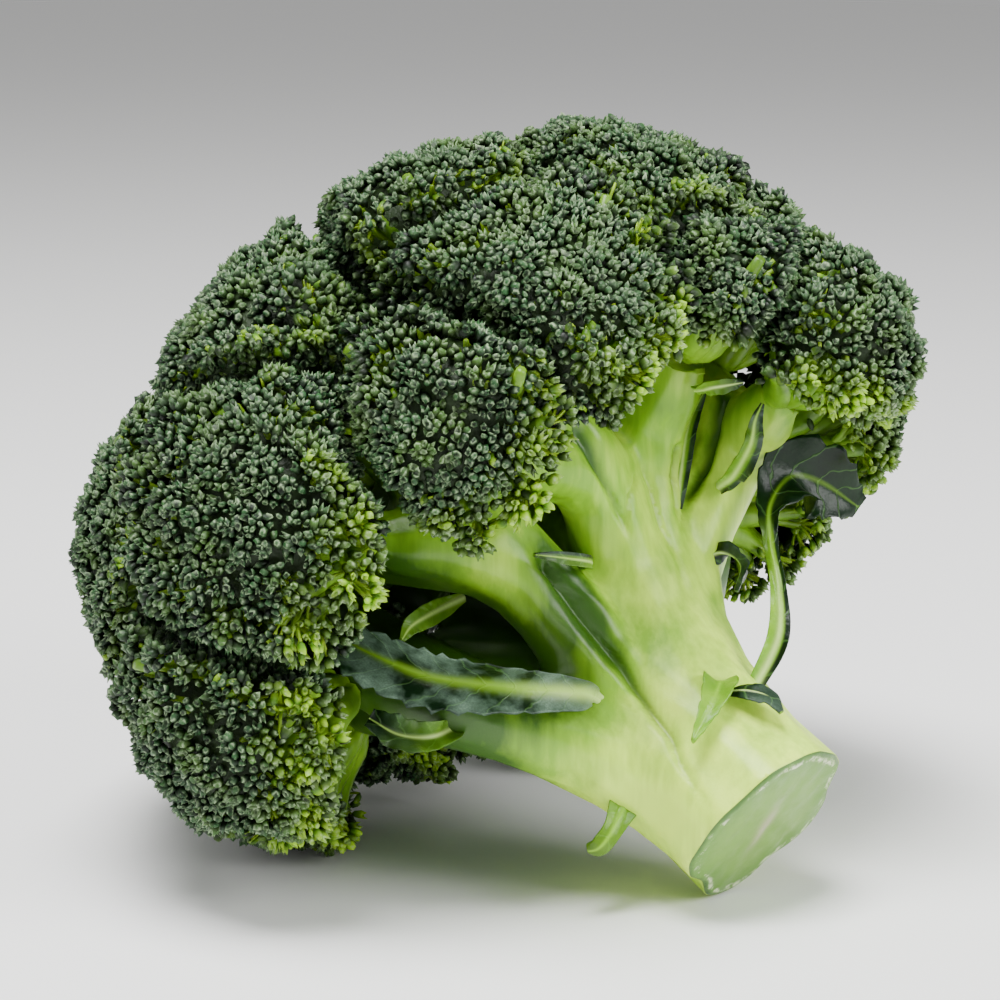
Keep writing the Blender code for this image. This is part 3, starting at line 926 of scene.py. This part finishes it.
# Creases in the stalk's skin: points along the growth axes, each with the crease's depth and half
# width there, all in millimetres
creases = [
    [(23, -22, 50, 4.6, 3.2), (20, -20.5, 46, 4.6, 3.0), (17, -18.8, 41, 4.0, 2.5),
     (14.5, -17, 36, 3.0, 1.9), (12.6, -15.6, 31.5, 2.2, 1.5), (9.5, -14.6, 23, 1.4, 1.0),
     (8.8, -14.6, 17, 1.0, 0.8), (7.3, -15.8, 12.6, 0.8, 0.7), (6.7, -16.6, 7.5, 0.6, 0.7),
     (6.1, -17, 2.5, 0.3, 0.6)],
    [(40, -14, 62.5, 2.2, 1.6), (36.5, -11.8, 59.3, 1.9, 1.3), (31.5, -8.6, 55, 1.3, 0.9),
     (28, -6.4, 51.7, 0.8, 0.6), (26, -5.6, 49.5, 0.2, 0.5)],
    [(27.6, -6, 51.3, 0.5, 0.5), (31, -4.2, 54.2, 0.8, 0.5), (32.5, -0.5, 57, 0.5, 0.5)],
    [(36, 10, 58, 1.6, 1.0), (32, 8.3, 55, 1.3, 0.8), (28.6, 8, 52, 0.9, 0.6),
     (26, 8.2, 48.8, 0.4, 0.5)],
    [(25.5, 8, 48.5, 0.4, 0.5), (27.7, 11, 51.7, 1.4, 0.8), (30.3, 14.5, 54, 2.0, 1.0),
     (34, 18, 57.3, 2.4, 1.2), (42, 24, 64, 2.6, 1.4)],
    [(32.7, 2.2, 58, 0.5, 0.5), (29.7, 3.1, 54.3, 0.9, 0.6), (26.6, 2.8, 50.2, 0.7, 0.5),
     (23.6, 4.2, 44.7, 0.5, 0.5), (21.7, 3, 40.6, 0.45, 0.6), (19.8, 2.2, 34.6, 0.35, 0.7),
     (17.2, 2.3, 21, 0.1, 0.7)],
    [(22.5, -14, 50.5, 0.3, 0.5), (18.7, -10, 51.8, 0.5, 0.45), (21.3, -8.5, 48.5, 0.2, 0.4)],
    [(9, -17.6, 30.2, 0.2, 0.4), (8.3, -17.1, 27.2, 0.45, 0.45), (7.7, -16.5, 23.8, 0.1, 0.4)],
    [(-25, 0, 45, 1.2, 1.4), (-17, -1, 36, 0.9, 1.2), (-13, -2, 24, 0.3, 1.0)],
    [(-6, 24, 50, 1.2, 1.4), (-4, 18, 40, 0.9, 1.2), (-3, 15, 28, 0.3, 1.0)],
    [(18, 17, 48, 1.0, 1.2), (13, 14, 40, 0.7, 1.0), (11, 13, 30, 0.2, 0.8)],
    [(-12, -18, 50, 1.2, 1.3), (-9, -16, 40, 0.9, 1.1), (-8, -15, 28, 0.3, 0.9)],
]


# depth*exp(-(distance/width)^2), with the distance along the skin to the deepest part of any line
def creaseDepth(points, normals, wider=1.0):
    deepest = np.zeros(len(points))
    for line in creases:
        line = np.array(line, float)
        for a, b in zip(line[:-1], line[1:]):
            span = (b - a)[:3]
            t = np.clip((points - a[:3]) @ span / (span**2).sum(), 0, 1)
            here = a + t[:, None] * (b - a)
            offset = points - here[:, :3]
            above = np.einsum("ij,ij->i", offset, normals)
            level = np.linalg.norm(offset - normals * above[:, None], axis=1)
            depth = here[:, 3] * np.exp(-((level / (wider * here[:, 4])) ** 2))
            deepest = np.maximum(deepest, depth * ease(np.abs(above), 9, 3))
    return deepest * ease(points[:, 2], 0, 5)


# the CAD stalk merged, run on below the cut, remeshed finely, creased, and cut again
def makeStalk():
    shape = bmesh.new()
    shape.from_mesh(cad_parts["stalk"].data)
    bmesh.ops.remove_doubles(shape, verts=shape.verts, dist=1e-6)
    mesh = bpy.data.meshes.new("stalkRough")
    shape.to_mesh(mesh)
    shape.free()
    points = pointsOf(mesh)
    points[points[:, 2] < 0.05, 2] -= stalkShape["extra"]
    mesh.vertices.foreach_set("co", placed(points).ravel())
    rough = newObject("stalkRough", mesh)
    remesh = rough.modifiers.new("fine", "REMESH")
    remesh.mode = "VOXEL"
    remesh.voxel_size = stalkShape["voxel"] * mm
    soften = rough.modifiers.new("soften", "SMOOTH")
    soften.iterations = stalkShape["smooth"]
    graph = bpy.context.evaluated_depsgraph_get()
    fine = bpy.data.meshes.new_from_object(rough.evaluated_get(graph))
    bpy.data.objects.remove(rough)
    points, normals = pointsOf(fine), np.zeros(len(fine.vertices) * 3)
    fine.vertex_normals.foreach_get("vector", normals)
    normals = normals.reshape(-1, 3) @ axesOfGrowth.T
    angle = np.arctan2(points[:, 1], points[:, 0])
    fading = ease(points[:, 2], 60, 20) * ease(points[:, 2], 0, 14)
    ribs = np.sin(5 * angle + 0.4) + 0.6 * np.sin(9 * angle + points[:, 2] / 14)
    flute = stalkShape["flute"] * fading * ribs
    ends = np.array(list(tips.values()))
    away = np.linalg.norm(points[:, None] - ends[None], axis=2).min(axis=1)
    taper = stalkShape["taper"] * ease(away, 11, 4)
    height, depth = points[:, 2], creaseDepth(points, normals)
    inner = np.clip(1 - np.linalg.norm(points[:, :2] - np.array(growth["fork"])[:2], axis=1) / 26, 0, 1)
    canopy = (np.linalg.norm(points[:, None] - balls[None, :, :3], axis=2) - balls[:, 3]).min(axis=1)
    shaded = ease(points[:, 0], 22, 5) * ease(height, 18, 38)
    creaseFlankShade = creaseDepth(points, normals, 2.6)
    # green: real green up the stalk plus painted shade on the shaded side and along the crease flanks;
    # hollow: painted shade in the creases, in the middle under the crown and next to the florets
    values = {
        "greenAndShade": stalkShape["footGreen"] + stalkShape["heightGreen"] * ease(height, 18, 88)
        + stalkShape["shadeGreen"] * shaded + stalkShape["creaseShade"] * ease(creaseFlankShade, 0.8, 4.2),
        "hollow": ease(depth, 0.3, 2.0) + 0.9 * inner * ease(height, 50, 66) + 0.4 * ease(canopy, 9, 0),
        "fresh": 0.1 * ease(waves(points, 30.0, np.random.default_rng(5)), 0.0, 1.2),
    }
    for key, value in values.items():
        attribute = fine.attributes.new(key, "FLOAT", "POINT")
        attribute.data.foreach_set("value", value.astype(np.float32))
    points = points + normals * (flute - depth - taper)[:, None]
    fine.vertices.foreach_set("co", placed(points).ravel())
    shape = bmesh.new()
    shape.from_mesh(fine)
    plane = {"plane_co": growth["origin"], "plane_no": Vector(axesOfGrowth[2]), "clear_inner": True}
    every = [*shape.verts, *shape.edges, *shape.faces]
    halves = bmesh.ops.bisect_plane(shape, geom=every, **plane)["geom_cut"]
    edges = [item for item in halves if isinstance(item, bmesh.types.BMEdge)]
    outline = np.array([edge.verts[0].co for edge in edges] + [edge.verts[1].co for edge in edges])
    bmesh.ops.holes_fill(shape, edges=edges)
    shape.to_mesh(fine)
    shape.free()
    fine.shade_smooth()
    fine.materials.clear()
    fine.materials.append(fleshMaterial)
    print("stalk made:", len(fine.polygons), "faces")
    addPiece("stalk_flesh", fine, "stalk_green", "stalk")
    makeCut(grown(outline))


cut = {"turns": 140, "rings": 20, "relief": 0.12, "inset": 0.10, "heartLong": 5.0, "heartThin": 1.5}


# rings from the middle out to the stalk's own outline: k*outline, with the rim and heart as values
def makeCut(outline):
    rng = np.random.default_rng(7)
    middle = (outline[:, :2].max(axis=0) + outline[:, :2].min(axis=0)) / 2
    offset = outline[:, :2] - middle
    angle = np.arctan2(offset[:, 1], offset[:, 0])
    order = np.argsort(angle)
    turn = -np.arange(cut["turns"]) * 2 * np.pi / cut["turns"]
    reach = np.interp(turn, angle[order], np.linalg.norm(offset[order], axis=1), period=2 * np.pi)
    share = np.linspace(0.02, 1, cut["rings"]) ** 0.8
    radius = share[:, None] * (reach - cut["inset"])
    x, y = middle[0] + radius * np.cos(turn), middle[1] + radius * np.sin(turn)
    flat = np.stack([x, y, 0 * x], axis=2)
    bumps = waves(flat.reshape(-1, 3), 5.0, rng).reshape(x.shape)
    inward = reach - radius
    flat[:, :, 2] = -0.45 - cut["relief"] * bumps * ease(inward, 0, 2) + 0.42 * ease(inward, 0.7, 0)
    back = flat[::-1].copy()
    back[:, :, 2] = 0.6
    points, quads, caps = closedRings(np.concatenate([flat, back]))
    across, along = points[:, 0] - middle[0], points[:, 1] - middle[1]
    heart = np.exp(-((across / cut["heartLong"]) ** 2) - (along / cut["heartThin"]) ** 2)
    inward = np.concatenate([inward.ravel(), inward[::-1].ravel(), [9.0, 9.0]])
    values = {"inward": inward, "heart": heart}
    mesh = meshFrom("stalk_cut", placed(points), [quads, caps], values, cutMaterial)
    addPiece("stalk_cut", mesh, "stalk_green", "stalk")


makeStalk()


# Leaves and stubs: midrib points (x, y, z, half width) along the growth axes, the way the blade
# faces, and how it's finished

plain = {
    "facing": (0.5, -0.7, -0.5),  # towards the side that's seen
    "fold": 0.4, "ruffle": 0.4, "waves": 3.5, "teeth": 0.02, "thick": 0.8, "rib": 0.9, "wide": (1, 1),
    "leafy": (1.0, 1.0), "darkEdge": 0.0, "ribFade": 0.0, "start": 0, "waxyAndPaintedLight": 0.25,
}
leaves = {
    "large_leaf": {
        "way": [(4, -15, 31, 0.5), (7, -21, 32.5, 1.6), (9, -28, 33, 3.9), (8, -38, 38, 5.6),
                (4, -46, 47, 6.8), (1, -50, 57, 6.2), (-1, -51, 64, 1.6)],
        "rib": 3.8, "teeth": 0.09, "wide": (1.05, 1.15), "ruffle": 0.7,
        # heavy bloom: partly real waxy bloom, partly painted light on this shaded leaf
        "fold": 0.85, "waxyAndPaintedLight": 0.9,
    },
    "crumpled_leaf": {
        "way": [(-5, -38, 42, 1.6), (-5, -46, 41, 3.4), (-6, -51, 44, 4.2), (-6, -54, 49, 2.6)],
        "facing": (0.7, -0.5, -0.5), "fold": 0.8, "ruffle": 1.2, "waves": 2.5, "leafy": (0.5, 1.0),
        "teeth": 0.06,
    },
    "throat_leaf": {
        "way": [(4, -25, 62, 1.0), (2, -31, 62, 2.2), (1, -37, 61, 2.0), (0, -41, 59, 0.6)],
        "leafy": (0.2, 0.6),
    },
    "sliver_leaf": {
        "way": [(17, -10, 52, 0.4), (23, -16, 48, 1.2), (26, -25, 48, 1.2), (26, -30, 50, 0.4)],
        "facing": (0.7, -0.2, -0.7), "leafy": (0.4, 0.9), "ruffle": 0.25, "rib": 0.5, "darkEdge": 1.0,
    },
    "narrow_leaf": {
        "way": [(49, 8, 60, 1.2), (52, 7, 57, 1.6), (54, 9, 55, 1.4), (55, 11, 54, 0.5)],
        "facing": (0.3, -0.5, -0.8), "leafy": (0.3, 1.0), "rib": 0.6,
    },
    "fork_leaf": {
        "way": [(27, 9, 52, 1.2), (32, 11, 56, 1.8), (38, 14, 61, 1.9), (43, 18, 64, 0.7)],
        "facing": (0.6, -0.7, -0.4), "leafy": (0.1, 0.7), "rib": 0.6, "darkEdge": 1.0,
    },
    "curly_leaf": {
        "way": [(32, 17, 51, 1.6), (38, 14, 48, 3.0), (46, 12, 47, 3.0), (51, 11, 48, 2.0),
                (54, 12, 49, 0.6)],
        "leafy": (0.2, 1.0), "ruffle": 1.2, "waves": 3.0, "rib": 1.0,
        "darkEdge": 1.0, "wide": (0.8, 0.5),
    },
    "petiole_leaf": {
        "way": [(15, 5, 18, 1.6), (23, 9, 21, 2.2), (28, 13, 28, 1.6), (31, 17, 36, 1.5),
                (34, 21, 42, 3.0), (37, 28, 45, 7.6), (37, 34, 42, 7.4), (35, 40, 36, 2.6)],
        "facing": (0.5, -0.7, -0.3), "rib": 1.0, "teeth": 0.1, "ruffle": 0.9, "waves": 5.0,
        "thick": 0.9, "leafy": (0.0, 2.2), "darkEdge": 1.0, "ribFade": 0.7, "waxyAndPaintedLight": 0.0,
    },
    "hook_leaf": {
        "way": [(20, 12, 44, 1.4), (24, 15, 42, 2.0), (24, 16, 38, 1.7), (21, 13, 35, 0.6)],
        "facing": (0.5, 0.7, -0.3), "rib": 0.5,
    },
    "cut_stub": {
        "way": [(14.5, -2, 20.5, 2.4), (17.5, -6, 18.5, 3.6), (17, -11, 15.5, 2.4),
                (13.5, -17, 12, 0.5)],
        "facing": (0.75, -0.6, -0.1), "start": 30, "leafy": (0.3, 0.0), "thick": 1.3, "rib": 0.8,
        "ruffle": 0.5, "waves": 1.3, "teeth": 0.06, "fold": 0.5,
    },
    "stub_scrap": {
        "way": [(16.5, -4.5, 17.5, 0.6), (19, -3, 14.5, 2.0), (20, -1.5, 11.5, 2.2), (20, -1.5, 8, 0.6)],
        "facing": (0.9, 0, -0.3), "rib": 0.3, "ribFade": 1.0, "ruffle": 0.1, "teeth": 0.0, "fold": 0.15,
        "thick": 1.0,
    },
    "lower_stub": {
        "way": [(-1, -9, 22, 2.4), (-4.5, -16, 18, 3.8), (-8, -22.5, 14, 2.1), (-10.5, -25.5, 13, 1.9),
                (-12, -26.5, 14, 1.0)],
        "facing": (0.1, -0.8, -0.5), "start": 30, "leafy": (0.2, 0.7), "waxyAndPaintedLight": 0.0, "thick": 2.2,
        "rib": 1.2, "ruffle": 0.4, "waves": 1.2, "teeth": 0.0,
    },
}
leafGrid = {"steps": 64, "across": 10}


# smooth curve through its points: each span is a cubic whose ends lean along the points either side
def throughPoints(points, steps):
    points = np.array(points, float)
    padded = np.vstack([2 * points[0] - points[1], points, 2 * points[-1] - points[-2]])
    place = np.linspace(0, len(points) - 1.0001, steps)
    k = place.astype(int)
    t = (place - k)[:, None]
    a, b, c, d = (padded[k + i] for i in range(4))
    bend, twist = 2 * a - 5 * b + 4 * c - d, 3 * b - a - 3 * c + d
    return 0.5 * (2 * b + (c - a) * t + bend * t**2 + twist * t**3)


# a value on the grid given to the top, the underside and the two ends
def bothSides(grid):
    return np.append(np.concatenate([grid, grid[:, ::-1]], axis=1).ravel(), [0.0, 0.0])


# blade: midrib + side*width*v + facing*(fold*|v|*width + ruffle*v^2*sin), with a rib down its middle
def makeLeaf(node, settings, seed):
    rng = np.random.default_rng(seed)
    look = {**plain, **settings}
    way = throughPoints(look["way"], leafGrid["steps"])
    mid, width = way[:, :3], np.maximum(way[:, 3], 0.3)
    along = unit(np.gradient(mid, axis=0))
    facing = np.array(look["facing"], float) - (along @ np.array(look["facing"]))[:, None] * along
    facing = unit(facing)
    side = np.cross(along, facing)
    v = np.linspace(-1, 1, 2 * leafGrid["across"] + 1)
    share = np.linspace(0, 1, len(way))[:, None]
    reach = np.linalg.norm(np.diff(mid, axis=0, prepend=mid[:1]), axis=1).cumsum()[:, None]
    starts = rng.uniform(0, 6.28, 4)
    uneven = np.where(v > 0, look["wide"][0], look["wide"][1])
    jagged = 1 - 2 * np.abs(np.sin(reach * 0.85 + starts[0])) + 0.5 * np.sin(reach * 3.1 + starts[1])
    toothed = 1 + look["teeth"] * jagged * ease(share, 0.3, 0.6)
    wide = width[:, None] * uneven * (1 + (toothed - 1) * np.abs(v) ** 3)
    roll = np.where(v > 0, starts[2], starts[3])
    turns = share * look["waves"] * np.pi
    wave = np.sin(2 * turns + roll) + 0.4 * np.sin(5.3 * turns + roll)
    high = look["fold"] * np.abs(v) ** 1.3 * wide
    high = high + look["ruffle"] * v**2 * wave * np.minimum(wide / 3, 1)
    centre = mid[:, None] + side[:, None] * (wide * v * math.cos(look["fold"]))[..., None]
    centre = centre + facing[:, None] * high[..., None]
    ribbed = np.exp(-((v[None] * wide / (0.55 * look["rib"])) ** 2)) * (1 - 0.8 * share)
    body = 0.5 * look["thick"] * (1 - 0.72 * np.abs(v) ** 2)
    top = centre + facing[:, None] * (body + 0.5 * look["rib"] * ribbed)[..., None]
    bottom = centre - facing[:, None] * (body + 0.7 * look["rib"] * ribbed)[..., None]
    points, quads, caps = closedRings(np.concatenate([top, bottom[:, ::-1]], axis=1))
    atFoot, atTip = look["leafy"]
    leafy = np.clip(atFoot + (atTip - atFoot) * ease(share, 0.15, 0.95), 0, 1)
    leafy = np.maximum(leafy + 0 * wide, look["darkEdge"] * ease(v, 0.25, 0.6))
    ribFade = 1 - look["ribFade"] * ease(share, 0.5, 0.7)
    ribWidth = 0.62 * look["rib"] * (1.15 - share)
    values = {
        "rib": bothSides(np.exp(-((v[None] * wide / ribWidth) ** 2)) * ribFade),
        "across": bothSides(wide * v),
        "along": bothSides(reach + look["start"] + 0 * wide),
        "leafy": bothSides(leafy),
        "waxyAndPaintedLight": np.full(len(points), look["waxyAndPaintedLight"]),
    }
    mesh = meshFrom(node + "_blade", placed(points), [quads, caps], values, leafMaterial)
    addPiece(node + "_blade", mesh, "leaf_green", node)


for order, (node, settings) in enumerate(leaves.items()):
    makeLeaf(node, settings, 300 + order)
print("leaves and stubs made:", len(leaves))
